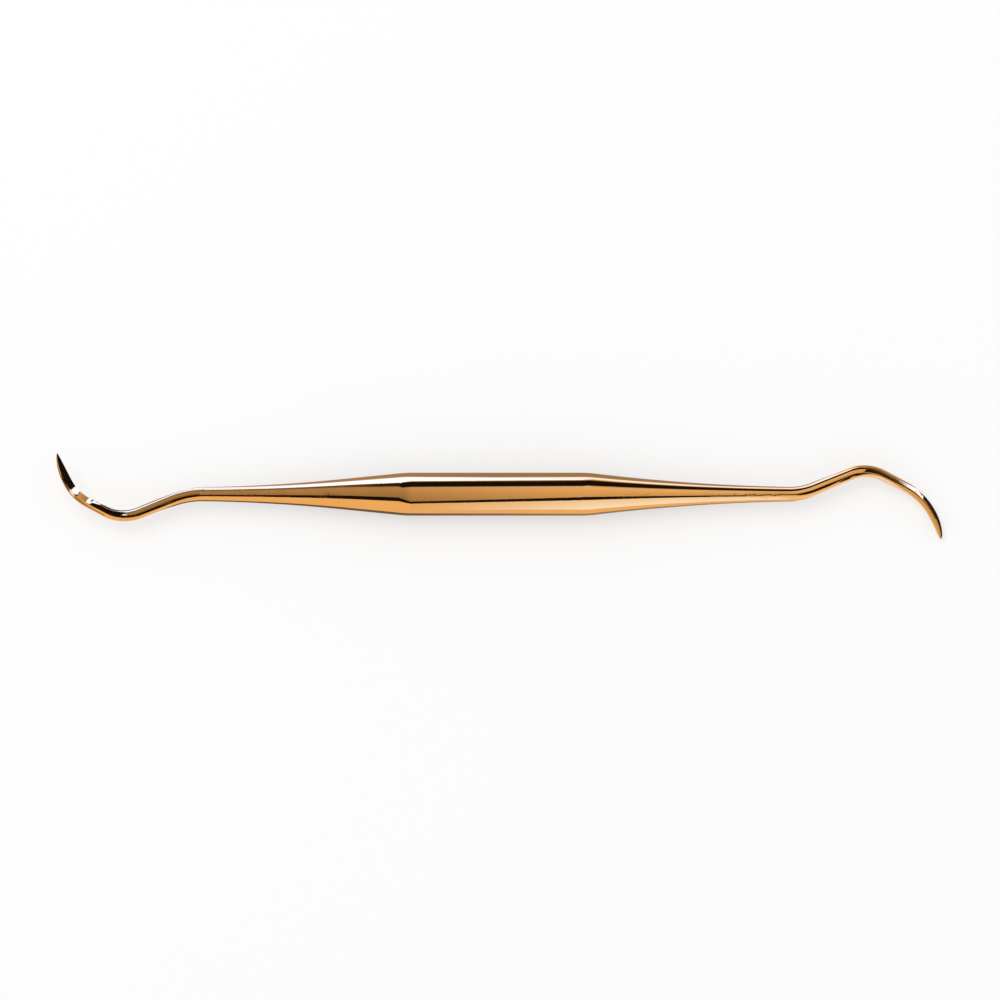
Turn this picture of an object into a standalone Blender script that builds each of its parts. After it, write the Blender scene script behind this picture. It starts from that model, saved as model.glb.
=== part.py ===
"""A double-ended dental scaler, turned, bent and ground from one bar of steel.

Metres, +Z up. X runs along the handle, whose middle is over the origin, and the instrument lies on z = 0.
Each end is worked out in a frame of its own: it leaves the middle of the handle along +X, bends away to the
left, lifts a little at its main bend, and hooks round to the right. Its blade is ground on the upper side.
The pointed end is then turned half a turn about Z, and the rounded one is mirrored top to bottom, because
the two are a left and right pair: one ground face looks up and the other looks down.
"""
import math
from dataclasses import dataclass

import bmesh
import bpy
from mathutils import Matrix, Vector

MM = 0.001

# Handle and the two flares that run into it
HANDLE_LENGTH = 34.0 * MM
HANDLE_RADIUS = 4.0 * MM
SHOULDER_BLEND = 1.2 * MM
SIDES = 32

# Pointed end: a flare with a straight cone at its wide end, a gently bent shank and a sharp tip.
# Turns are in degrees, to the left seen from the ground side, so the hook's own turns are negative.
POINTED_NECK_RADIUS = 1.32 * MM
POINTED_SHANK_TAPER = 0.016
POINTED_FLARE_CURVE = 300.0 * MM
POINTED_CONE_SLOPE = 0.100
POINTED_FIRST_RADIUS = 17.5 * MM
POINTED_FIRST_TURN = 21.8
POINTED_UPPER_SHANK = 6.1 * MM
POINTED_MAIN_RADIUS = 7.7 * MM
POINTED_MAIN_TURN = -48.9
POINTED_LOWER_SHANK = 3.5 * MM
POINTED_HEEL_RADIUS = 8.5 * MM
POINTED_HEEL_TURN = -32.2
POINTED_TOE_RADIUS = 19.7 * MM
POINTED_TOE_TURN = -18.8
POINTED_TIP_FULLNESS = 0.65

# Rounded end: a flare that curves all the way, a more sharply bent shank and a blunt toe
ROUNDED_NECK_RADIUS = 1.36 * MM
ROUNDED_SHANK_TAPER = 0.0175
ROUNDED_FLARE_CURVE = 350.0 * MM
ROUNDED_CONE_SLOPE = 0.118
ROUNDED_FIRST_RADIUS = 12.0 * MM
ROUNDED_FIRST_TURN = 22.3
ROUNDED_UPPER_SHANK = 7.5 * MM
ROUNDED_MAIN_RADIUS = 7.1 * MM
ROUNDED_MAIN_TURN = -48.9
ROUNDED_LOWER_SHANK = 4.7 * MM
ROUNDED_HEEL_RADIUS = 12.3 * MM
ROUNDED_HEEL_TURN = -29.5
ROUNDED_TOE_RADIUS = 14.7 * MM
ROUNDED_TOE_TURN = -23.5
ROUNDED_TIP_FULLNESS = 0.38

# The main bend of both ends also lifts the shank, in degrees, towards the side that its face is ground on
MAIN_LIFT = 10.0

# Grinding of the blades, in lengths back from the tip along the curve
TIP_LENGTH = 4.8 * MM
FACE_LENGTH = 11.6 * MM
FACE_RUN_OUT = 1.7 * MM
HEEL_SLANT = math.radians(19.0)
HEEL_SLANT_REACH = 3.0 * MM
FLANK_LENGTH = 8.8 * MM
FLANK_RUN_OUT = 1.6 * MM

# Spans of the two flats round the section. Towards the tip the face is ground deeper, and the edge where
# it meets the back climbs further round.
FACE_SPAN = math.radians(101.0)
FACE_CLIMB = math.radians(34.0)
FLANK_SPAN = math.radians(90.0)

# Fineness of the mesh along the instrument
TURN_STEP = math.radians(4.5)
FLARE_STEP = 4.0 * MM
SHOULDER_STEPS = 4
TIP_STEPS = 9
SHORTEST_STEP = 0.12 * MM
MERGE_DISTANCE = 0.001 * MM

GOLD = (0.83, 0.47, 0.16, 1.0)

SIDE_ANGLE = 2.0 * math.pi / SIDES
AXIS_HEIGHT = HANDLE_RADIUS * math.cos(SIDE_ANGLE / 2.0)

# The flats start and stop at corners of the section: the face at the hooked side, the flank at the other
FACE_FIRST_CORNER = SIDES - 1
FACE_SIDES = round(FACE_SPAN / SIDE_ANGLE)
FACE_LAST_CORNER = (FACE_FIRST_CORNER + FACE_SIDES) % SIDES
FLANK_FIRST_CORNER = SIDES // 2 - 1
FLANK_SIDES = round(FLANK_SPAN / SIDE_ANGLE)


@dataclass
class Bend:
    """An arc of the axis: its radius, and how far it turns to the left and lifts, in degrees."""
    radius: float
    turn: float
    lift: float = 0.0

    def swing(self):
        """The whole angle of the arc, in radians."""
        return math.radians(math.hypot(self.turn, self.lift))

    def axis(self):
        """The line that the arc swings about, in a frame with X ahead, Y to the left and Z up."""
        return Vector((0.0, -self.lift, self.turn)).normalized()


@dataclass
class End:
    """The driving sizes of one working end. Its course has bends, and the lengths of straight shank."""
    neck_radius: float
    taper: float
    flare_curve: float
    cone_slope: float
    course: list
    tip_fullness: float


@dataclass
class Flat:
    """A ground flat: the corners of the section that it spans, and where it runs out."""
    first_corner: int
    sides: int
    length: float
    run_out: float


POINTED = End(
    POINTED_NECK_RADIUS, POINTED_SHANK_TAPER, POINTED_FLARE_CURVE, POINTED_CONE_SLOPE,
    [Bend(POINTED_FIRST_RADIUS, POINTED_FIRST_TURN), POINTED_UPPER_SHANK,
     Bend(POINTED_MAIN_RADIUS, POINTED_MAIN_TURN, MAIN_LIFT), POINTED_LOWER_SHANK,
     Bend(POINTED_HEEL_RADIUS, POINTED_HEEL_TURN), Bend(POINTED_TOE_RADIUS, POINTED_TOE_TURN)],
    POINTED_TIP_FULLNESS)
ROUNDED = End(
    ROUNDED_NECK_RADIUS, ROUNDED_SHANK_TAPER, ROUNDED_FLARE_CURVE, ROUNDED_CONE_SLOPE,
    [Bend(ROUNDED_FIRST_RADIUS, ROUNDED_FIRST_TURN), ROUNDED_UPPER_SHANK,
     Bend(ROUNDED_MAIN_RADIUS, ROUNDED_MAIN_TURN, MAIN_LIFT), ROUNDED_LOWER_SHANK,
     Bend(ROUNDED_HEEL_RADIUS, ROUNDED_HEEL_TURN), Bend(ROUNDED_TOE_RADIUS, ROUNDED_TOE_TURN)],
    ROUNDED_TIP_FULLNESS)
FLATS = [
    Flat(FACE_FIRST_CORNER, FACE_SIDES, FACE_LENGTH, FACE_RUN_OUT),
    Flat(FLANK_FIRST_CORNER, FLANK_SIDES, FLANK_LENGTH, FLANK_RUN_OUT),
]


def run_length(run):
    """Length along the axis of a bend or of a straight stretch."""
    return run.radius * run.swing() if isinstance(run, Bend) else run


def flare_radius(end, back):
    """Radius of the flare at a distance back from the neck: an arc that runs into a straight cone."""
    curved = min(back, (end.cone_slope - end.taper) * end.flare_curve)
    radius = end.neck_radius + end.taper * curved + curved * curved / (2.0 * end.flare_curve)
    return radius + end.cone_slope * (back - curved)


def flare_length(end):
    """Distance from the neck to the shoulder, where the flare has grown to the handle's radius."""
    curved = (end.cone_slope - end.taper) * end.flare_curve
    if flare_radius(end, curved) < HANDLE_RADIUS:
        return curved + (HANDLE_RADIUS - flare_radius(end, curved)) / end.cone_slope
    growth = 2.0 * (HANDLE_RADIUS - end.neck_radius) / end.flare_curve
    return end.flare_curve * (math.sqrt(end.taper ** 2 + growth) - end.taper)


def neck_place(end):
    return HANDLE_LENGTH / 2.0 + flare_length(end)


def tip_place(end):
    """Length of the axis from the middle of the handle to the tip."""
    return neck_place(end) + sum(run_length(run) for run in end.course)


def radius_at(end, place):
    """Radius of the bar at a place along the axis, before any grinding."""
    shoulder = HANDLE_LENGTH / 2.0
    past = place - shoulder
    if past <= -SHOULDER_BLEND:
        return HANDLE_RADIUS
    if past < SHOULDER_BLEND:
        drop = HANDLE_RADIUS - flare_radius(end, neck_place(end) - shoulder - SHOULDER_BLEND)
        return HANDLE_RADIUS - drop * ((past + SHOULDER_BLEND) / (2.0 * SHOULDER_BLEND)) ** 2
    back = neck_place(end) - place
    if back > 0.0:
        return flare_radius(end, back)
    radius = end.neck_radius + end.taper * back
    to_tip = tip_place(end) - place
    if to_tip < TIP_LENGTH:
        radius *= math.sin(math.pi / 2.0 * to_tip / TIP_LENGTH) ** end.tip_fullness
    return radius


def axis_frame(end, place):
    """Frame on the axis at a place: X ahead, Y to the left and Z towards the side that is ground."""
    frame = Matrix.Translation((min(place, neck_place(end)), 0.0, 0.0))
    left = place - neck_place(end)
    for run in end.course:
        gone = min(max(left, 0.0), run_length(run))
        if isinstance(run, Bend):
            centre = run.radius * run.axis().cross(Vector((1.0, 0.0, 0.0)))
            swing = Matrix.Rotation(gone / run.radius, 4, run.axis())
            frame = frame @ Matrix.Translation(centre) @ swing @ Matrix.Translation(-centre)
        else:
            frame = frame @ Matrix.Translation((gone, 0.0, 0.0))
        left -= run_length(run)
    return frame


def ground_share(flat, to_tip):
    """How far a flat is cut at a distance from the tip: 1 on the blade, 0 where it has run out."""
    return min(max((flat.length + flat.run_out - to_tip) / flat.run_out, 0.0), 1.0)


def corner_angle(corner, to_tip):
    """Angle of a corner of the section: evenly spaced, then crowded past the face's upper corner."""
    climb = FACE_CLIMB * min(max((FACE_LENGTH - to_tip) / (FACE_LENGTH - TIP_LENGTH), 0.0), 1.0)
    on_face = (corner - FACE_FIRST_CORNER) % SIDES
    above_face = (corner - FACE_LAST_CORNER) % SIDES
    round_back = (FLANK_FIRST_CORNER - FACE_LAST_CORNER) % SIDES
    angle = (corner + 0.5) * SIDE_ANGLE
    if on_face <= FACE_SIDES:
        return angle + climb * on_face / FACE_SIDES
    if above_face <= round_back:
        return angle + climb * (1.0 - above_face / round_back)
    return angle


def section_radius(corner, radius, to_tip):
    """Distance from the axis to one corner of the section: round, or cut back to the ground flats."""
    for flat in FLATS:
        if (corner - flat.first_corner) % SIDES <= flat.sides:
            first = corner_angle(flat.first_corner, to_tip)
            last = corner_angle((flat.first_corner + flat.sides) % SIDES, to_tip)
            span = (last - first) % (2.0 * math.pi)
            off_middle = (corner_angle(corner, to_tip) - first) % (2.0 * math.pi) - span / 2.0
            chord = radius * math.cos(span / 2.0) / math.cos(off_middle)
            return radius + (chord - radius) * ground_share(flat, to_tip)
    return radius


def section_corner(end, place, corner):
    """One corner of the section. Corner 0 is just above the hooked side, towards the ground face."""
    to_tip = tip_place(end) - place
    angle = corner_angle(corner, to_tip)
    reach = section_radius(corner, radius_at(end, place), to_tip)
    hooked_side = reach * math.cos(angle)
    slant = max(0.0, 1.0 - abs(to_tip - FACE_LENGTH) / HEEL_SLANT_REACH)
    ahead = -hooked_side * math.tan(HEEL_SLANT) * slant
    return axis_frame(end, place) @ Vector((ahead, -hooked_side, reach * math.sin(angle)))


def split(start, stop, step):
    """Places after start, up to stop, in even steps no longer than step."""
    count = max(1, math.ceil((stop - start) / step - 0.001))
    return [start + (stop - start) * i / count for i in range(1, count + 1)]


def section_places(end):
    """Places of the sections from the handle to just short of the tip, close together where it bends."""
    shoulder = HANDLE_LENGTH / 2.0
    neck = neck_place(end)
    tip = tip_place(end)
    cone = max(neck - (end.cone_slope - end.taper) * end.flare_curve, shoulder + SHOULDER_BLEND)
    places = [shoulder - SHOULDER_BLEND]
    places += split(places[-1], shoulder + SHOULDER_BLEND, 2.0 * SHOULDER_BLEND / SHOULDER_STEPS)
    if cone - places[-1] > SHORTEST_STEP:
        places.append(cone)
    places += split(places[-1], neck, FLARE_STEP)
    for run in end.course:
        step = run.radius * TURN_STEP if isinstance(run, Bend) else run
        places += split(places[-1], places[-1] + run_length(run), step)
    toe = tip - TIP_LENGTH
    grinding = [toe]
    for flat in FLATS:
        grinding += [tip - flat.length - flat.run_out, tip - flat.length]
    toe_places = [tip - TIP_LENGTH * (i / TIP_STEPS) ** 2 for i in range(TIP_STEPS - 1, 0, -1)]
    clear = 2.0 * SHORTEST_STEP
    kept = [p for p in places if p < toe and all(abs(p - g) > clear for g in grinding)]
    return sorted(kept + grinding) + toe_places


def add_end(bm, end, placing):
    """Extrude one end from the middle of the handle, section by section, and close it at the tip."""
    ring = bmesh.ops.create_circle(bm, segments=SIDES, radius=HANDLE_RADIUS)["verts"]
    corner_layer = bm.verts.layers.int.get("corner")
    for corner, vert in enumerate(ring):
        vert[corner_layer] = corner
        vert.co = placing @ section_corner(end, 0.0, corner)
    edges = list({edge for vert in ring for edge in vert.link_edges})
    for place in section_places(end):
        grown = bmesh.ops.extrude_edge_only(bm, edges=edges)["geom"]
        edges = [item for item in grown if isinstance(item, bmesh.types.BMEdge)]
        ring = [item for item in grown if isinstance(item, bmesh.types.BMVert)]
        for vert in ring:
            vert.co = placing @ section_corner(end, place, vert[corner_layer])
    tip = placing @ axis_frame(end, tip_place(end)).to_translation()
    grown = bmesh.ops.extrude_edge_only(bm, edges=edges)["geom"]
    ring = [item for item in grown if isinstance(item, bmesh.types.BMVert)]
    bmesh.ops.pointmerge(bm, verts=ring, merge_co=tip)


def gold_coated_steel():
    """Polished steel under a thin gold-coloured hard coating."""
    material = bpy.data.materials.new("gold_coated_steel")
    material.use_nodes = True
    shader = material.node_tree.nodes["Principled BSDF"]
    shader.inputs["Base Color"].default_value = GOLD
    shader.inputs["Metallic"].default_value = 1.0
    shader.inputs["Roughness"].default_value = 0.12
    material.diffuse_color = GOLD
    return material


def build_scaler():
    """The whole instrument as one closed body."""
    bm = bmesh.new()
    bm.verts.layers.int.new("corner")
    lying = Matrix.Translation((0.0, 0.0, AXIS_HEIGHT))
    face_down = Matrix.Scale(-1.0, 4, (0.0, 0.0, 1.0))
    add_end(bm, ROUNDED, lying @ face_down)
    add_end(bm, POINTED, lying @ Matrix.Rotation(math.pi, 4, "Z"))
    bmesh.ops.remove_doubles(bm, verts=bm.verts, dist=MERGE_DISTANCE)
    bmesh.ops.recalc_face_normals(bm, faces=bm.faces)
    mesh = bpy.data.meshes.new("scaler")
    bm.to_mesh(mesh)
    bm.free()
    mesh.materials.append(gold_coated_steel())
    mesh.shade_smooth()
    mesh.set_sharp_from_angle(angle=math.radians(25.0))
    scaler = bpy.data.objects.new("scaler", mesh)
    bpy.context.scene.collection.objects.link(scaler)
    return scaler


for leftover in list(bpy.data.objects):
    bpy.data.objects.remove(leftover, do_unlink=True)
build_scaler()
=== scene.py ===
# %% [markdown]
# # A gold-coloured dental scaler
#
# The real thing is one bar of steel: a round handle, and at each end a flare, a thin bent shank and a small
# hooked blade. It is polished all over and then coated, and the coating is thin, hard and gold-coloured.
# Polished metal has hardly any colour pattern of its own. What we see on it is the room, bent along its form.
# So this lesson has three parts: a very smooth body, a finish with fine marks in it, and a studio to mirror.

# %% Load the frame
import math
from dataclasses import dataclass

import bmesh
import bpy
from mathutils import Matrix, Vector


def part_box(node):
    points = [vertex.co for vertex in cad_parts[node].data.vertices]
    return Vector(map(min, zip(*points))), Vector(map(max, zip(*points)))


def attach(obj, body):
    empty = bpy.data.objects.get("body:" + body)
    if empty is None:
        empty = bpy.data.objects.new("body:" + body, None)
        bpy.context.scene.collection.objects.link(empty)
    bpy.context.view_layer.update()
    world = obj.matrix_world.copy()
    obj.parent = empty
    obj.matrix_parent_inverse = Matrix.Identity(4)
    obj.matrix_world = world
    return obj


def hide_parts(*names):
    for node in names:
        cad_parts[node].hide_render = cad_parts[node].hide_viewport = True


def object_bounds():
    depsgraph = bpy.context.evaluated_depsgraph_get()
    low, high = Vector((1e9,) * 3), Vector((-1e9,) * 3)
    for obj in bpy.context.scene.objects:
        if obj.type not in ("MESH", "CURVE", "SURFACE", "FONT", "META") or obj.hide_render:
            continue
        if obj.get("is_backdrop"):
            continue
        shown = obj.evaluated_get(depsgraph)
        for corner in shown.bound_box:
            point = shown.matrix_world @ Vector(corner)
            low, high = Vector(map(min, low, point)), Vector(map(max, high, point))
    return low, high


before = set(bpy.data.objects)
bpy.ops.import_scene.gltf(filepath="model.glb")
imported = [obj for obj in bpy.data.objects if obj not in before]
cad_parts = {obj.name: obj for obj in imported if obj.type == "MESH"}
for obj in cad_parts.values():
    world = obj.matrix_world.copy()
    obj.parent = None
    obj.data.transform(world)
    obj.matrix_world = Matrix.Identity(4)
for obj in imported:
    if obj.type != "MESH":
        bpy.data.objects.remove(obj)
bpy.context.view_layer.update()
low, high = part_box("scaler")
print("CAD box in mm", [round(v * 1000, 2) for v in low], [round(v * 1000, 2) for v in high])

# %% [markdown]
# ## The sizes
#
# The solid that carries the physics has a 32-sided section, which is enough to roll and rest on. A mirror
# finish shows every facet, though, so the visible body is made again from the same driving sizes with four
# times as many sides and much shorter steps. The handle's radius comes from the frame, so that the two agree.

# %% Units and the handle
MM = 0.001
MICROMETRE = 0.001 * MM
SIDES = 128
SIDE_ANGLE = 2.0 * math.pi / SIDES
HANDLE_LENGTH = 34.0 * MM
HANDLE_RADIUS = round((high.z - low.z) / 2.0, 4)
SHOULDER = HANDLE_LENGTH / 2.0
SHOULDER_BLEND = 1.2 * MM
AXIS_HEIGHT = low.z + HANDLE_RADIUS
print("handle", HANDLE_LENGTH / MM, "mm long and", 2.0 * HANDLE_RADIUS / MM, "mm across")


# %% [markdown]
# ## The course of the axis
#
# Each end is bent like a piece of wire: a bend, a straight stretch, a bend, and so on. A `Bend` says how
# tight it is, how far it turns to the left, and how far it lifts out of the plane. The last two bends are the
# blade's own curve. One list per end is easier to read and to change than a curve with many points.

# %% Bends and ends
@dataclass
class Bend:
    """An arc of the axis. The turn to the left and the lift are in degrees."""
    radius: float
    turn: float
    lift: float = 0.0

    def swing(self):
        return math.radians(math.hypot(self.turn, self.lift))

    def axis(self):
        return Vector((0.0, -self.lift, self.turn)).normalized()


@dataclass
class End:
    """The neck and flare of one end, its bends and straight stretches, and how full its tip is."""
    neck_radius: float
    taper: float
    flare_curve: float
    cone_slope: float
    course: list
    tip_fullness: float


MAIN_LIFT = 10.0
pointed = End(
    neck_radius=1.32 * MM, taper=0.016, flare_curve=300.0 * MM, cone_slope=0.100,
    course=[Bend(17.5 * MM, 21.8), 6.1 * MM, Bend(7.7 * MM, -48.9, MAIN_LIFT), 3.5 * MM,
            Bend(8.5 * MM, -32.2), Bend(19.7 * MM, -18.8)],
    tip_fullness=0.65)
rounded = End(
    neck_radius=1.36 * MM, taper=0.0175, flare_curve=350.0 * MM, cone_slope=0.118,
    course=[Bend(12.0 * MM, 22.3), 7.5 * MM, Bend(7.1 * MM, -48.9, MAIN_LIFT), 4.7 * MM,
            Bend(12.3 * MM, -29.5), Bend(14.7 * MM, -23.5)],
    tip_fullness=0.38)


# %% Lengths along the axis
def run_length(run):
    return run.radius * run.swing() if isinstance(run, Bend) else run


def flare_radius(end, back):
    """Radius at a distance back from the neck: an arc that runs into a straight cone."""
    curved = min(back, (end.cone_slope - end.taper) * end.flare_curve)
    radius = end.neck_radius + end.taper * curved + curved * curved / (2.0 * end.flare_curve)
    return radius + end.cone_slope * (back - curved)


def flare_length(end):
    """How far back the flare reaches the handle's radius, as the CAD has it."""
    curved = (end.cone_slope - end.taper) * end.flare_curve
    if flare_radius(end, curved) < HANDLE_RADIUS:
        return curved + (HANDLE_RADIUS - flare_radius(end, curved)) / end.cone_slope
    growth = 2.0 * (HANDLE_RADIUS - end.neck_radius) / end.flare_curve
    return end.flare_curve * (math.sqrt(end.taper ** 2 + growth) - end.taper)


def neck_place(end):
    return SHOULDER + flare_length(end)


def tip_place(end):
    return neck_place(end) + sum(run_length(run) for run in end.course)


for name, end in (("pointed", pointed), ("rounded", rounded)):
    neck_mm, tip_mm = (round(place / MM, 1) for place in (neck_place(end), tip_place(end)))
    print(name, "end: neck at", neck_mm, "mm, tip at", tip_mm, "mm")


# %% [markdown]
# ## A frame that travels along the axis
#
# To place a section anywhere, we need a point on the axis and the directions across it. The frame starts at
# the neck and is carried through each stretch in turn. A bend swings it about the bend's own centre, so it
# never twists, and the ground faces stay on the side where they belong.

# %% The travelling frame
def axis_frame(end, place):
    """X points ahead, Y to the left and Z to the side that the face is ground on."""
    here = Matrix.Translation((min(place, neck_place(end)), 0.0, 0.0))
    left = place - neck_place(end)
    for run in end.course:
        gone = min(max(left, 0.0), run_length(run))
        if isinstance(run, Bend):
            centre = run.radius * run.axis().cross(Vector((1.0, 0.0, 0.0)))
            swing = Matrix.Rotation(gone / run.radius, 4, run.axis())
            here = here @ Matrix.Translation(centre) @ swing @ Matrix.Translation(-centre)
        else:
            here = here @ Matrix.Translation((gone, 0.0, 0.0))
        left -= run_length(run)
    return here


for name, end in (("pointed", pointed), ("rounded", rounded)):
    tip = axis_frame(end, tip_place(end)).to_translation() / MM
    print(name, "tip is", round(tip.y, 1), "mm aside and", round(tip.z, 1), "mm up in its own space")


# %% [markdown]
# ## Thickness along the bar
#
# The bar is turned on a lathe before it is bent: a straight handle, a short blend at the shoulder, a flare
# that narrows to the neck, then a slow taper to the tip. Near the tip the radius follows a power of a sine,
# which closes it smoothly. A higher power gives the sharp tip, a lower one the blunt toe.

# %% Radius at a place
TIP_LENGTH = 4.8 * MM


def radius_at(end, place):
    past = place - SHOULDER
    if past <= -SHOULDER_BLEND:
        return HANDLE_RADIUS
    if past < SHOULDER_BLEND:
        drop = HANDLE_RADIUS - flare_radius(end, neck_place(end) - SHOULDER - SHOULDER_BLEND)
        return HANDLE_RADIUS - drop * ((past + SHOULDER_BLEND) / (2.0 * SHOULDER_BLEND)) ** 2
    back = neck_place(end) - place
    if back > 0.0:
        return flare_radius(end, back)
    radius = end.neck_radius + end.taper * back
    to_tip = tip_place(end) - place
    if to_tip < TIP_LENGTH:
        radius *= math.sin(math.pi / 2.0 * to_tip / TIP_LENGTH) ** end.tip_fullness
    return radius


for name, end in (("pointed", pointed), ("rounded", rounded)):
    print(name, "neck is", round(2.0 * radius_at(end, neck_place(end)) / MM, 2), "mm across")


# %% [markdown]
# ## The ground flats
#
# Two flats make the blade. The face is ground from the hooked side, and the flank from the back, and the
# edges between them and the round back are what does the work. A flat is a chord across the round section,
# so a corner of the section moves in to the chord. Each flat runs out over a short length, as a wheel leaves
# it, and at the heel that line is slanted.

# %% Flats
@dataclass
class Flat:
    """A chord over some sides of the section, its length from the tip, and how far it runs out."""
    first_corner: int
    sides: int
    length: float
    run_out: float


FACE_LENGTH = 11.6 * MM
FACE_CLIMB = math.radians(34.0)
HEEL_SLANT = math.radians(19.0)
HEEL_SLANT_REACH = 3.0 * MM
face = Flat(first_corner=SIDES - 2, sides=round(math.radians(101.0) / SIDE_ANGLE),
            length=FACE_LENGTH, run_out=1.7 * MM)
flank = Flat(first_corner=SIDES // 2 - 2, sides=round(math.radians(90.0) / SIDE_ANGLE),
             length=8.8 * MM, run_out=1.6 * MM)
FACE_LAST_CORNER = (face.first_corner + face.sides) % SIDES
print("face spans", face.sides, "sides and flank", flank.sides, "of", SIDES)


# %% Corners of a section
def corner_angle(corner, to_tip):
    """Angle of a corner: evenly spaced, then crowded where the face's upper edge climbs to the tip."""
    climb = FACE_CLIMB * min(max((FACE_LENGTH - to_tip) / (FACE_LENGTH - TIP_LENGTH), 0.0), 1.0)
    on_face = (corner - face.first_corner) % SIDES
    above_face = (corner - FACE_LAST_CORNER) % SIDES
    round_back = (flank.first_corner - FACE_LAST_CORNER) % SIDES
    if on_face <= face.sides:
        return corner * SIDE_ANGLE + climb * on_face / face.sides
    if above_face <= round_back:
        return corner * SIDE_ANGLE + climb * (1.0 - above_face / round_back)
    return corner * SIDE_ANGLE


def section_radius(corner, radius, to_tip):
    """Distance from the axis to one corner: round, or cut back to the chord of a flat."""
    for flat in (face, flank):
        if (corner - flat.first_corner) % SIDES <= flat.sides:
            ground = min(max((flat.length + flat.run_out - to_tip) / flat.run_out, 0.0), 1.0)
            first = corner_angle(flat.first_corner, to_tip)
            last = corner_angle((flat.first_corner + flat.sides) % SIDES, to_tip)
            span = (last - first) % (2.0 * math.pi)
            off_middle = (corner_angle(corner, to_tip) - first) % (2.0 * math.pi) - span / 2.0
            chord = radius * math.cos(span / 2.0) / math.cos(off_middle)
            return radius + (chord - radius) * ground
    return radius


def section_corner(end, place, corner):
    """One corner in the end's own space. Corner 0 is on the hooked side."""
    to_tip = tip_place(end) - place
    angle = corner_angle(corner, to_tip)
    reach = section_radius(corner, radius_at(end, place), to_tip)
    slant = max(0.0, 1.0 - abs(to_tip - FACE_LENGTH) / HEEL_SLANT_REACH)
    ahead = -reach * math.cos(angle) * math.tan(HEEL_SLANT) * slant
    return axis_frame(end, place) @ Vector((ahead, -reach * math.cos(angle), reach * math.sin(angle)))


# %% [markdown]
# ## Where the sections go
#
# A mirror shows a bend as a chain of short straight pieces unless the pieces are very short, so the sections
# are a degree apart in the bends. They are also close where a flat starts or stops, and they crowd towards
# the tip, where the radius changes fastest.

# %% Places of the sections
BEND_STEP = math.radians(1.0)
STRAIGHT_STEP = 0.7 * MM
SHOULDER_STEP = SHOULDER_BLEND / 8.0
SHORTEST_STEP = 0.02 * MM
TIP_STEPS = 36
STEP_SLACK = 0.001


def split(start, stop, step):
    """Evenly spaced places after the start, up to the stop, no further apart than a step."""
    count = max(1, math.ceil((stop - start) / step - STEP_SLACK))
    return [start + (stop - start) * i / count for i in range(1, count + 1)]


def section_places(end):
    places = [SHOULDER - SHOULDER_BLEND]
    places += split(places[-1], SHOULDER + SHOULDER_BLEND, SHOULDER_STEP)
    places += split(places[-1], neck_place(end), STRAIGHT_STEP)
    for run in end.course:
        step = run.radius * BEND_STEP if isinstance(run, Bend) else STRAIGHT_STEP
        places += split(places[-1], places[-1] + run_length(run), step)
    tip = tip_place(end)
    grinding = [tip - TIP_LENGTH]
    for flat in (face, flank):
        grinding += [tip - flat.length - flat.run_out, tip - flat.length]
    toe = [tip - TIP_LENGTH * (i / TIP_STEPS) ** 2 for i in range(TIP_STEPS - 1, 0, -1)]
    kept = [p for p in places if p < grinding[0] and all(abs(p - g) > SHORTEST_STEP for g in grinding)]
    return sorted(kept + grinding) + toe


print("sections", len(section_places(pointed)), "and", len(section_places(rounded)))


# %% [markdown]
# ## Extruding the body
#
# Each end's mesh starts as one circle in the middle of the handle. `extrude_edge_only` grows it ring by ring,
# and each new ring is moved to its section. Two small layers on the vertices remember which corner and which
# place a vertex belongs to: the first puts it in position, and both give the surface its own map later.

# %% Grow one end
def grow_end(bm, end, placing):
    corners = bm.verts.layers.int["corner"]
    along = bm.verts.layers.float["along"]

    def settle(ring, place):
        for vert in ring:
            vert[along] = abs(place)
            vert.co = placing @ section_corner(end, abs(place), vert[corners])

    ring = bmesh.ops.create_circle(bm, segments=SIDES, radius=HANDLE_RADIUS)["verts"]
    for corner, vert in enumerate(ring):
        vert[corners] = corner
    settle(ring, 0.0)
    edges = list({edge for vert in ring for edge in vert.link_edges})
    for place in section_places(end):
        grown = bmesh.ops.extrude_edge_only(bm, edges=edges)["geom"]
        edges = [item for item in grown if isinstance(item, bmesh.types.BMEdge)]
        settle([item for item in grown if isinstance(item, bmesh.types.BMVert)], place)
    grown = bmesh.ops.extrude_edge_only(bm, edges=edges)["geom"]
    last = [item for item in grown if isinstance(item, bmesh.types.BMVert)]
    tip = placing @ axis_frame(end, tip_place(end)).to_translation()
    bmesh.ops.pointmerge(bm, verts=last, merge_co=tip)


# %% [markdown]
# The two ends are a left and right pair. One is turned half a turn about the upright axis. The other is
# mirrored top to bottom, which turns its faces inside out, so the normals are recalculated after the two
# halves are merged.

# %% Build the body
SHARP_EDGE = math.radians(25.0)


def into_scene(name, bm):
    """An object made from a finished bmesh."""
    mesh = bpy.data.meshes.new(name)
    bm.to_mesh(mesh)
    bm.free()
    made = bpy.data.objects.new(name, mesh)
    bpy.context.scene.collection.objects.link(made)
    return made


def build_body():
    bm = bmesh.new()
    bm.verts.layers.int.new("corner")
    bm.verts.layers.float.new("along")
    lying = Matrix.Translation((0.0, 0.0, AXIS_HEIGHT))
    grow_end(bm, rounded, lying @ Matrix.Scale(-1.0, 4, (0.0, 0.0, 1.0)))
    grow_end(bm, pointed, lying @ Matrix.Rotation(math.pi, 4, "Z"))
    bmesh.ops.remove_doubles(bm, verts=bm.verts, dist=MICROMETRE)
    bmesh.ops.recalc_face_normals(bm, faces=bm.faces)
    map_surface(bm)
    body = into_scene("polished_scaler", bm)
    body.data.shade_smooth()
    body.data.set_sharp_from_angle(angle=SHARP_EDGE)
    return body


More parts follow.
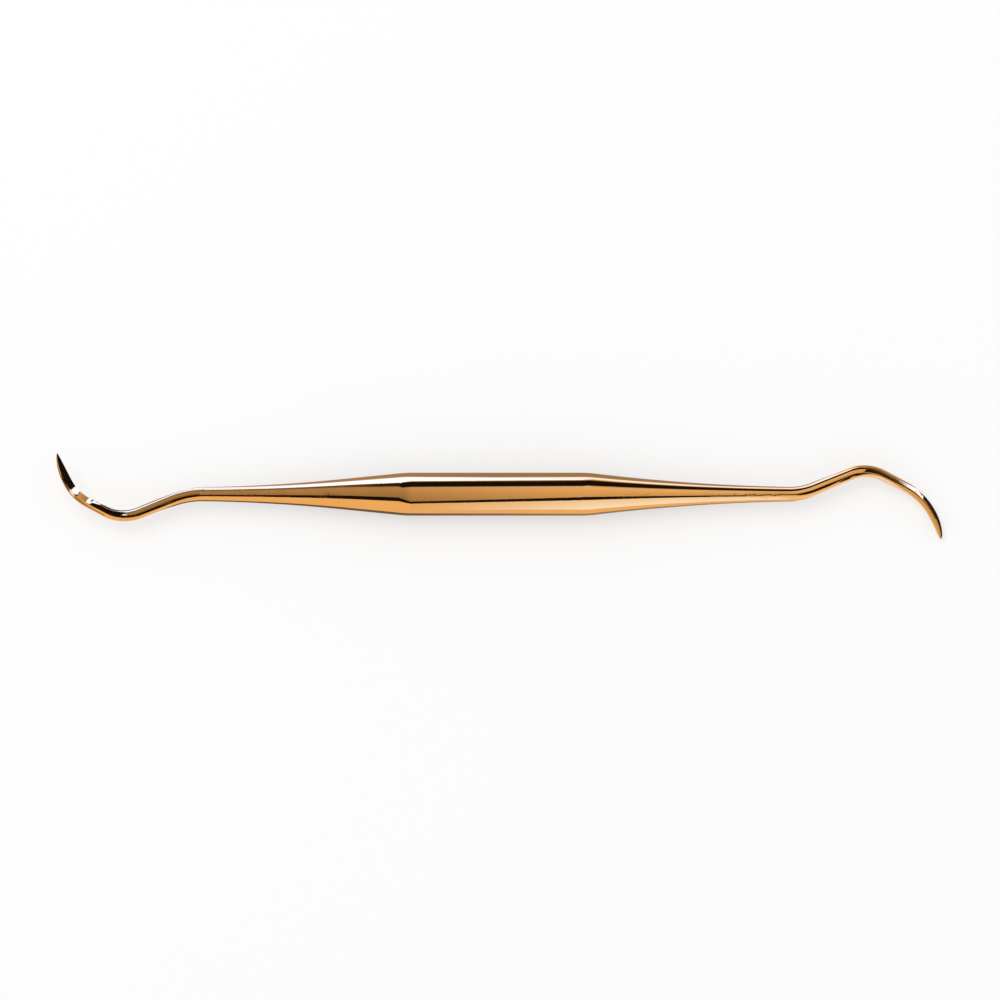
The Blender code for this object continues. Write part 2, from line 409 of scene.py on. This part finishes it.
# %% [markdown]
# The surface map runs along the bar in one direction and round it in the other, both in metres, so that the
# polishing marks can follow the bends. Where the last side meets the first one, the map goes on instead of
# jumping back, or a smear would run along that side.

# %% Map the surface
def map_surface(bm):
    corners = bm.verts.layers.int["corner"]
    along = bm.verts.layers.float["along"]
    grain = bm.loops.layers.uv.new("grain")
    for side in bm.faces:
        wraps = {vert[corners] for vert in side.verts} >= {0, SIDES - 1}
        for loop in side.loops:
            corner = loop.vert[corners]
            if wraps and corner == 0:
                corner = SIDES
            sign = 1.0 if loop.vert.co.x > 0.0 else -1.0
            loop[grain].uv = (sign * loop.vert[along], corner * SIDE_ANGLE * HANDLE_RADIUS)


scaler = build_body()
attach(scaler, "root")
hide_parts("scaler")
triangles = sum(len(polygon.vertices) - 2 for polygon in scaler.data.polygons)
print("body", len(scaler.data.vertices), "vertices and", triangles, "triangles")


# %% [markdown]
# ## Writing shader maths as sums
#
# A node tree is easier to read as an expression. `Wire` wraps one output of a node, and the usual signs add
# Math nodes behind the scenes, with their reflected forms so that a number may come first. All other nodes
# come from one method of the tree's own helper.

# %% Shader helper
class Wire:
    """An output of a node that can be added, subtracted and multiplied like a number."""

    def __init__(self, bench, socket):
        self.bench = bench
        self.socket = socket

    def maths(self, operation, *values, clamp=False):
        return self.bench.node("ShaderNodeMath", {"operation": operation, "use_clamp": clamp}, *values)

    def __add__(self, other):
        return self.maths("ADD", self, other)

    def __sub__(self, other):
        return self.maths("SUBTRACT", self, other)

    def __rsub__(self, other):
        return self.maths("SUBTRACT", other, self)

    def __mul__(self, other):
        return self.maths("MULTIPLY", self, other)

    def clamped(self):
        return self.maths("ADD", self, 0.0, clamp=True)

    __radd__ = __add__
    __rmul__ = __mul__


class Bench:
    """Adds nodes to one tree, sets them and links them."""

    def __init__(self, tree):
        self.tree = tree

    def node(self, kind, settings=None, *values, out=0, **named):
        made = self.tree.nodes.new(kind)
        for setting, value in (settings or {}).items():
            setattr(made, setting, value)
        by_name = [(name.replace("_", " "), value) for name, value in named.items()]
        for socket, value in list(enumerate(values)) + by_name:
            if isinstance(value, Wire):
                self.tree.links.new(value.socket, made.inputs[socket])
            else:
                made.inputs[socket].default_value = value
        return Wire(self, made.outputs[out])


# %% [markdown]
# ## The gold coating
#
# The coating mirrors almost like gold leaf over glass, but it isn't perfect. The steel under it was buffed
# along and round the bar, which leaves hair-fine rings. Its surface swells a little, so that long reflections
# waver. Handling leaves a few scratches and faint smears. So the colour stays nearly the same all over,
# and the roughness and the normal carry the detail. The heights are in micrometres.

# %% Gold-coated steel
WARM_GOLD, DEEP_GOLD, GOLD_SHIFT = (0.86, 0.41, 0.115, 1.0), (0.80, 0.345, 0.08, 1.0), 0.6
RINGS_PER_METRE, STREAKS_PER_METRE, STREAK_SLANT = (9000.0, 260.0, 1.0), (500.0, 9000.0, 1.0), 0.5
POLISHED, SMEARED, RINGED, SCRATCHED = 0.015, 0.02, 0.01, 0.10
SWELL_HEIGHT, RING_HEIGHT, SCRATCH_DEPTH = 6.0, 0.10, 0.35


def above(noise, threshold, steepness):
    """0 up to the threshold and 1 well above it."""
    return ((noise - threshold) * steepness).clamped()


def gold_coated_steel():
    material = bpy.data.materials.new("gold_coated_steel")
    material.use_nodes = True
    bench = Bench(material.node_tree)
    shader = material.node_tree.nodes["Principled BSDF"]
    place = bench.node("ShaderNodeTexCoord", out="Object")
    grain = bench.node("ShaderNodeUVMap", {"uv_map": "grain"})

    rings_at = bench.node("ShaderNodeMapping", None, grain, Scale=RINGS_PER_METRE)
    rings = bench.node("ShaderNodeTexNoise", {"noise_dimensions": "2D"}, rings_at, Scale=1.0, Detail=2.0)
    swell = bench.node("ShaderNodeTexNoise", None, place, Scale=420.0, Detail=2.0, Roughness=0.45)
    smear = bench.node("ShaderNodeTexNoise", None, place, Scale=170.0, Detail=5.0, Distortion=0.6)
    streaks_at = bench.node("ShaderNodeMapping", None, grain,
                            Rotation=(0.0, 0.0, STREAK_SLANT), Scale=STREAKS_PER_METRE)
    streaks = bench.node("ShaderNodeTexNoise", {"noise_dimensions": "2D"}, streaks_at, Scale=1.0, Detail=1.0)
    scratches = (above(streaks, threshold=0.66, steepness=14.0)
                 * above(smear, threshold=0.45, steepness=6.0))

    gold = bench.node("ShaderNodeMix", {"data_type": "RGBA"}, A=WARM_GOLD, B=DEEP_GOLD,
                      Factor=smear * GOLD_SHIFT, out=2)
    rough = POLISHED + SMEARED * smear + RINGED * rings + SCRATCHED * scratches
    height = swell * SWELL_HEIGHT + rings * RING_HEIGHT - scratches * SCRATCH_DEPTH
    bump = bench.node("ShaderNodeBump", None, Strength=1.0, Distance=MICROMETRE, Height=height)
    for socket, wire in (("Base Color", gold), ("Roughness", rough), ("Normal", bump)):
        material.node_tree.links.new(wire.socket, shader.inputs[socket])
    shader.inputs["Metallic"].default_value = 1.0
    return material


scaler.data.materials.append(gold_coated_steel())
print("material nodes", len(scaler.data.materials[0].node_tree.nodes))


# %% [markdown]
# ## The floor and the light
#
# The scaler lies on a plain pale floor in a white room. The room's strength is a little lower for the floor
# than for the eye and for reflections, and one large soft lamp makes up the rest. To the eye and to
# reflections the floor is partly white by itself. So it keeps a soft, pale shadow under the bar, and a colour
# still renders about as it is written.

# %% Floor
WHITE, PAPER_WHITE = (1.0, 1.0, 1.0, 1.0), (0.95, 0.95, 0.95, 1.0)
PAPER_OWN_WHITE = 0.45
FLOOR_SIZE = 6.0


def looked_at(bench):
    """1 for the eye, mirrors and glass, and 0 where light is gathered."""
    return (bench.node("ShaderNodeLightPath", out="Is Camera Ray")
            + bench.node("ShaderNodeLightPath", out="Is Glossy Ray")
            + bench.node("ShaderNodeLightPath", out="Is Transmission Ray")).clamped()


def pale_paper():
    material = bpy.data.materials.new("pale_paper")
    material.use_nodes = True
    tree = material.node_tree
    shader = tree.nodes["Principled BSDF"]
    shader.inputs["Base Color"].default_value = PAPER_WHITE
    shader.inputs["Roughness"].default_value = 0.9
    shader.inputs["Specular IOR Level"].default_value = 0.0
    bench = Bench(tree)
    own_white = bench.node("ShaderNodeEmission", None, WHITE)
    paper = Wire(bench, shader.outputs["BSDF"])
    blend = bench.node("ShaderNodeMixShader", None, PAPER_OWN_WHITE * looked_at(bench), paper, own_white)
    tree.links.new(blend.socket, tree.nodes["Material Output"].inputs["Surface"])
    material.cycles.emission_sampling = "NONE"
    return material


sheet = bmesh.new()
bmesh.ops.create_grid(sheet, x_segments=1, y_segments=1, size=FLOOR_SIZE / 2.0)
floor = into_scene("floor", sheet)
floor.data.materials.append(pale_paper())
floor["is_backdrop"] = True
print("floor", FLOOR_SIZE, "m wide")

# %% Room
ROOM_LIGHT = 0.80
room = bpy.data.worlds.new("white_room")
room.use_nodes = True
bpy.context.scene.world = room
air = Bench(room.node_tree)
background = room.node_tree.nodes["Background"]
background.inputs["Color"].default_value = WHITE
strength = ROOM_LIGHT + (1.0 - ROOM_LIGHT) * looked_at(air)
room.node_tree.links.new(strength.socket, background.inputs["Strength"])

# %% Soft lamp
LAMP_SIZE, LAMP_POWER, LAMP_PLACE = 0.9, 4.4, (-0.35, 0.45, 1.1)
lamp_data = bpy.data.lights.new("soft_lamp", "AREA")
lamp_data.shape = "DISK"
lamp_data.size = LAMP_SIZE
lamp_data.energy = LAMP_POWER
lamp = bpy.data.objects.new("soft_lamp", lamp_data)
lamp.location = LAMP_PLACE
lamp.rotation_euler = Vector(lamp.location).to_track_quat("Z", "Y").to_euler()
lamp.visible_glossy = False
bpy.context.scene.collection.objects.link(lamp)
print("lamp", round(lamp.location.length, 2), "m away")


# %% [markdown]
# ## The cards round it
#
# In a plain white room polished metal looks flat, and its edges vanish against the floor. A photographer
# hangs black flags, grey boards and bright strips close to it, just out of view, and the metal mirrors them
# as long stripes. Only reflections see the cards here, so they don't light the floor and don't show from any
# side.
#
# A shade is a grey level or a colour. A card takes one shade, or a pair for its two long sides, or four for
# its corners, and fades between them. Gold mirrors a white card as yellow, so the bright cards are bluish:
# the daylight and window ones come out plain white, and the others pale, cream or peach.

# %% Paint for a card
FLAG = 0.012
DAYLIGHT, WINDOW = (1.3, 2.7, 10.0), (1.25, 2.2, 6.0)
PALE, CREAM, PEACH = (1.15, 1.85, 4.4), (1.05, 1.4, 2.5), (0.85, 1.1, 1.9)


def corner_colours(shades):
    """The colours of a card's four corners, from one, two or four shades."""
    if not isinstance(shades, list):
        shades = [shades]
    one_each = {1: shades * 4, 2: [shades[0], shades[0], shades[-1], shades[-1]], 4: shades}[len(shades)]
    return [(shade if isinstance(shade, tuple) else (shade,) * 3) + (1.0,) for shade in one_each]


def card_paint(name, shades):
    material = bpy.data.materials.new(name)
    material.use_nodes = True
    tree = material.node_tree
    tree.nodes.remove(tree.nodes["Principled BSDF"])
    bench = Bench(tree)
    place = bench.node("ShaderNodeUVMap", {"uv_map": "UVMap"})
    along = bench.node("ShaderNodeSeparateXYZ", None, place, out=0)
    across = bench.node("ShaderNodeSeparateXYZ", None, place, out=1)
    mixing = {"data_type": "RGBA"}
    corners = corner_colours(shades)
    first = bench.node("ShaderNodeMix", mixing, A=corners[0], B=corners[1], Factor=along, out=2)
    second = bench.node("ShaderNodeMix", mixing, A=corners[2], B=corners[3], Factor=along, out=2)
    colour = bench.node("ShaderNodeMix", mixing, A=first, B=second, Factor=across, out=2)
    glow = bench.node("ShaderNodeEmission", None, colour)
    tree.links.new(glow.socket, tree.nodes["Material Output"].inputs["Surface"])
    material.cycles.emission_sampling = "NONE"
    return material


# %% [markdown]
# Most cards hang on an arch over the bar, a hand's width away. A place on it has two numbers: how far along
# the bar it is, in millimetres, and its angle from straight overhead, in degrees, positive towards +Y.
# A dark fin stands across the bar beside the pointed blade, and a screen beside the rounded one. There a
# place has its distance from the bar's line on the floor, and the same angle. The lowest part of a round bar
# mirrors the floor right beside it, so some cards lie there, placed by x and y.
#
# Each card is given by its four corners: the two ends of its first long side, then the two ends of the
# second. It starts as a flat grid whose points are then laid between those corners, so it may be slanted or
# taper. Where two cards overlap, one is lifted towards the metal.

# %% Laying a card
ARCH_RADIUS, SCREEN_X, FLOOR_GAP = 180.0, 73.0, 0.05
FIN_FOOT, FIN_LEAN = -54.6, 0.077
STEPS_ALONG, STEPS_ACROSS = 8, 12


def turned(x, radius, angle):
    """The point at a distance from the bar's line on the floor, at an angle from straight overhead."""
    return Matrix.Rotation(-math.radians(angle), 3, "X") @ Vector((x, 0.0, radius))


def on_arch(x, angle, lift):
    return turned(x, ARCH_RADIUS - lift, angle)


def on_fin(radius, angle, lift):
    return turned(FIN_FOOT - FIN_LEAN * radius - lift, radius, angle)


def on_screen(radius, angle, lift):
    return turned(SCREEN_X + lift, radius, angle)


def on_floor(x, y, lift):
    return Vector((x, y, FLOOR_GAP + lift))


def card(name, shades, first, second, lay=on_arch, lift=0.0):
    """A card between its first long side and its second, hidden from all but reflections."""
    bm = bmesh.new()
    bm.loops.layers.uv.new("UVMap")
    bmesh.ops.create_grid(bm, x_segments=STEPS_ALONG, y_segments=STEPS_ACROSS, size=0.5, calc_uvs=True)
    for vert in bm.verts:
        along, across = vert.co.x + 0.5, vert.co.y + 0.5
        start = Vector(first[0]).lerp(Vector(first[1]), along)
        stop = Vector(second[0]).lerp(Vector(second[1]), along)
        vert.co = lay(*start.lerp(stop, across), lift) * MM
    made = into_scene(name, bm)
    made.data.materials.append(card_paint(name, shades))
    made.visible_camera = made.visible_diffuse = made.visible_shadow = False
    made.visible_transmission = made.visible_volume_scatter = False
    made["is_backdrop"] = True


def band(name, shades, along_range, across_range, **more):
    """A card with square corners."""
    first, second = (tuple((along, across) for along in along_range) for across in across_range)
    card(name, shades, first, second, **more)


# %% [markdown]
# Each stripe on the metal tells of one card. Where the stripe lies across the bar gives the card's angle, and
# how fast it narrows or wanders gives the slant of the card's long sides. In a bend the bar mirrors a place
# far ahead, so the cards for the shanks and blades hang well beyond them, or stand close beside them.

# %% Over the pointed end
card("low_flag_pointed", FLAG, ((-70, -33), (-20, -52)), ((-70, -8), (-20, -40)))
card("shank_board_pointed", [0.45, 0.10, 0.45, 0.45], ((-162, -30), (-70, -19)), ((-162, 34), (-70, 34)))
card("board_pointed", [0.40, 0.35, 0.52, 0.52], ((-70, -8), (-44, -25)), ((-70, 34), (-44, 34)))
band("upper_board_pointed", [0.45, 0.25], (-162, -66), (34, 80))
card("mid_board_pointed", [0.5, 0.5, 0.5, 0.4], ((-66, 34), (-44, 34)), ((-66, 54), (-44, 35)))
card("high_flag_neck_pointed", [0.25, 0.04, 0.25, 0.04], ((-66, 54), (-56, 44)), ((-66, 75), (-56, 68)))
card("high_flag_pointed", [0.04, FLAG, 0.04, FLAG], ((-56, 44), (-44, 35)), ((-56, 68), (-44, 62)))
card("strip_pointed", DAYLIGHT, ((-66, 75), (-44, 62)), ((-66, 91), (-44, 91)))
band("shank_strip_pointed", DAYLIGHT, (-162, -66), (80, 91))

# %% Fin beside the pointed blade
band("fin_low", FLAG, (22, 180), (-17, 38), lay=on_fin)
band("fin_high", FLAG, (12, 180), (38, 90.5), lay=on_fin)
band("face_light", DAYLIGHT, (14, 22), (58, 69), lay=on_fin, lift=0.5)
card("face_board", [0.75, 0.35], ((14, 70), (23.5, 70)), ((18, 88), (34, 88)), lay=on_fin, lift=0.5)
card("run_out_light", DAYLIGHT, ((27, 84), (36, 84)), ((27, 90.5), (52, 90.5)), lay=on_fin, lift=1.0)
band("bend_light", DAYLIGHT, (88, 150), (12, 33), lay=on_fin, lift=0.5)

# %% Over the handle
card("low_flag_handle", FLAG, ((-20, -52), (20, -31)), ((-20, -40), (20, -14)))
card("board_handle_start", [0.32, 0.4, 0.52, 0.65], ((-44, -25), (-20, -40)), ((-44, 34), (-20, 34.5)))
card("board_handle", [0.4, 0.72, 0.65, 1.0], ((-20, -40), (20, -13)), ((-20, 34.5), (20, 36)))
card("peach_handle", [0.45, PEACH, 0.3, PEACH], ((-44, 34), (42, 36)), ((-44, 35), (42, 46)))
card("high_flag_handle", FLAG, ((-44, 35), (42, 46)), ((-44, 62), (42, 79)))
card("high_board_handle", [0.1, 0.2, 0.4, 1.0], ((-44, 62), (42, 79)), ((-44, 66), (42, 88)))
card("strip_handle", DAYLIGHT, ((-44, 66), (42, 88)), ((-44, 91), (42, 91)))
card("low_board_handle", [0.9, PALE, 0.9, CREAM], ((-20, -90), (20, -90)), ((-20, -52), (20, -31)))

# %% Over the rounded end
band("pale_board_rounded", [PALE, CREAM], (20, 66), (-90, -31.5))
band("low_flag_rounded", FLAG, (20, 66), (-31, -14))
band("board_rounded", [0.72, 1.0], (20, 66), (-13, 36))
band("peach_rounded", [PEACH, 0.6], (42, 66), (36, 46))
band("high_flag_rounded", FLAG, (42, 66), (46, 79))
band("high_board_rounded", [0.2, 1.0], (42, 66), (79, 88))
band("strip_rounded", WINDOW, (42, 66), (88, 91))
card("bend_board_rounded", [0.75, 0.75, 0.85, 0.95], ((66, 3), (109, -17)), ((66, 46), (107, 34)))
card("high_flag_bend_rounded", FLAG, ((66, 46), (107, 34)), ((66, 75), (107, 58)))
card("high_board_bend_rounded", 0.35, ((66, 75), (107, 58)), ((66, 91), (107, 91)))
card("under_flag_rounded", 0.12, ((66, -18), (73, -20)), ((66, 2.5), (73, -0.5)))
card("under_board_rounded", [CREAM, 1.0], ((66, -91), (109, -91)), ((66, -19), (109, -50)))
card("under_board_low_rounded", [CREAM, 1.0], ((109, -91), (142, -91)), ((109, -39), (142, -90)))
card("under_flag_low_rounded", FLAG, ((109, -38), (143, -91)), ((114, -18), (185, -91)), lift=1.0)
card("shank_flag_rounded", [FLAG, 0.02, FLAG, 0.15],
     ((108, -24), (150, -6.2)), ((107, 42), (220, 42)), lift=1.5)
band("upper_board_rounded", [0.03, 0.20, 0.30, 0.42], (107, 229), (42, 91))

# %% Screen beside the rounded blade
card("screen_flag_low", FLAG, ((14, -60), (19, -56)), ((19, -26), (28, -31)), lay=on_screen)
card("screen_flag_middle", FLAG, ((19, -26), (28, -31)), ((19, -26), (30, -9)), lay=on_screen)
card("screen_board_low", 0.75, ((19, -56), (30, -44)), ((28, -31), (30, -9)), lay=on_screen)
card("screen_flag", FLAG, ((30, -44), (175, -20)), ((30, -9), (175, -3)), lay=on_screen)
card("screen_cream_low", [CREAM, 1.0], ((9, -91), (30, -91)), ((14, -61), (30, -45)), lay=on_screen)
card("screen_cream", [CREAM, 1.0], ((30, -91), (175, -91)), ((30, -45), (175, -21)), lay=on_screen)
card("screen_gold", [0.9, 0.7], ((6, -91), (176, -91)), ((17, -18), (176, -18)), lay=on_screen, lift=0.5)

# %% What only the blades mirror
card("blade_board_rounded", [0.85, 0.4, 0.8, 0.5], ((73, -75), (190, -40)), ((73, -39), (150, -7)), lift=0.5)
card("blade_board_upper_rounded", 0.8, ((73, -38), (107, -25)), ((73, -1), (107, -18)))
card("blade_flag_rounded", FLAG, ((166, -6), (198, -4)), ((164, -1), (192, 4)), lift=2.0)
card("heel_light_rounded", DAYLIGHT, ((172, 8), (192, 8)), ((220, 42), (262, 42)))
band("heel_light_upper_rounded", DAYLIGHT, (229, 420), (40, 91))
card("back_board_pointed", 0.35, ((-250, -90), (-140, -90)), ((-160, -34), (-106, -34)))
card("back_light_pointed", PALE, ((-312, -90), (-262, -90)), ((-200, -38), (-162, -38)), lift=2.0)
card("back_flag_pointed", FLAG, ((-460, -90), (-325, -90)), ((-460, -40), (-225, -40)))

# %% On the floor
card("floor_edge_pointed", [0.3, 0.3, 0.6, 0.5], ((-57, 0), (0, 0)), ((-57, 3), (0, 28)), lay=on_floor)
card("floor_glow_pointed", [0.6, WINDOW], ((-57, 3), (0, 28)), ((-57, 6), (0, 41)), lay=on_floor)
card("floor_light_pointed", DAYLIGHT, ((-58, 6), (0, 41)), ((-58, 85), (0, 85)), lay=on_floor)
card("floor_light_far_pointed", DAYLIGHT, ((-58, 85), (0, 85)), ((-60, 160), (0, 160)), lay=on_floor)
card("shank_light_pointed", DAYLIGHT, ((-70, 2), (-58, 5)), ((-112, 90), (-58, 90)), lay=on_floor)
card("wedge_flag_pointed", 0.06, ((-73, -2), (-67, -2)), ((-52, 60), (-43, 60)), lay=on_floor, lift=0.02)
band("floor_near_pointed", [0.2, 0.14], (-60, -20), (-12, 0), lay=on_floor)
card("floor_near_handle", [0.2, 0.4, 0.14, 0.3], ((-20, -12), (20, -10)), ((-20, 0), (20, 0)), lay=on_floor)
card("cream_floor_pointed", CREAM, ((-86, -14), (-60, -14)), ((-84, -2), (-60, -1)), lay=on_floor)
band("blade_flag_pointed", 0.03, (-150, -90), (-25, 32), lay=on_floor)
card("floor_edge_rounded", [0.3, 0.3, 0.5, 0.5], ((0, 0), (62, 0)), ((0, 28), (62, 6)), lay=on_floor)
card("floor_glow_rounded", [0.5, WINDOW], ((0, 28), (62, 6)), ((0, 41), (62, 8)), lay=on_floor)
card("floor_light_handle", [DAYLIGHT, WINDOW] * 2, ((0, 41), (20, 30.4)), ((0, 120), (20, 120)), lay=on_floor)
card("floor_light_rounded", WINDOW, ((20, 30.4), (60, 9)), ((20, 120), (60, 120)), lay=on_floor)
card("floor_near_rounded", [0.4, 0.3], ((20, -10), (56, -6)), ((20, 0), (56, 0)), lay=on_floor)
card("cream_floor_rounded", CREAM, ((60, -22), (81, -14)), ((60, 0), (81.5, 0)), lay=on_floor)
card("shank_floor_rounded", 0.55, ((66, 2.5), (79.5, 2.5)), ((64, 60), (121, 60)), lay=on_floor)
card("heel_floor_rounded", DAYLIGHT, ((80, 2.5), (88, 2.5)), ((122, 60), (170, 60)), lay=on_floor)
band("blade_floor_near_rounded", [0.12, 0.03], (82, 104), (-16, -4), lay=on_floor)
band("blade_floor_far_rounded", 0.03, (82, 104), (-4, 2.4), lay=on_floor)

# %% [markdown]
# ## The camera
#
# The photograph looks straight down on the scaler, so the camera does too, from well above and through a
# long lens, which keeps the ends from leaning. The two tips are as far from the picture's sides as in the
# photograph.

# %% Camera
LEFT_TIP_PX, RIGHT_TIP_PX, MIDDLE_ROW_PX, PICTURE_PX = 57.0, 943.0, 496.0, 1000.0
CAMERA_HEIGHT, SENSOR_WIDTH = 1.5, 36.0
low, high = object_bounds()
pixel = (high.x - low.x) / (RIGHT_TIP_PX - LEFT_TIP_PX)
camera_data = bpy.data.cameras.new("camera")
camera_data.sensor_width = SENSOR_WIDTH
camera_data.lens = SENSOR_WIDTH * (CAMERA_HEIGHT - AXIS_HEIGHT) / (pixel * PICTURE_PX)
camera = bpy.data.objects.new("camera", camera_data)
camera.location = ((low.x + high.x) / 2.0 + (PICTURE_PX - LEFT_TIP_PX - RIGHT_TIP_PX) / 2.0 * pixel,
                   (low.y + high.y) / 2.0 - (PICTURE_PX / 2.0 - MIDDLE_ROW_PX) * pixel, CAMERA_HEIGHT)
bpy.context.scene.collection.objects.link(camera)
bpy.context.scene.camera = camera
print("one pixel is", round(pixel / MM, 4), "mm, lens", round(camera_data.lens, 1), "mm")

# %% [markdown]
# ## The view transform
#
# The view transform is Standard, so white stays white.

# %% Finish
bpy.context.scene.view_settings.view_transform = "Standard"
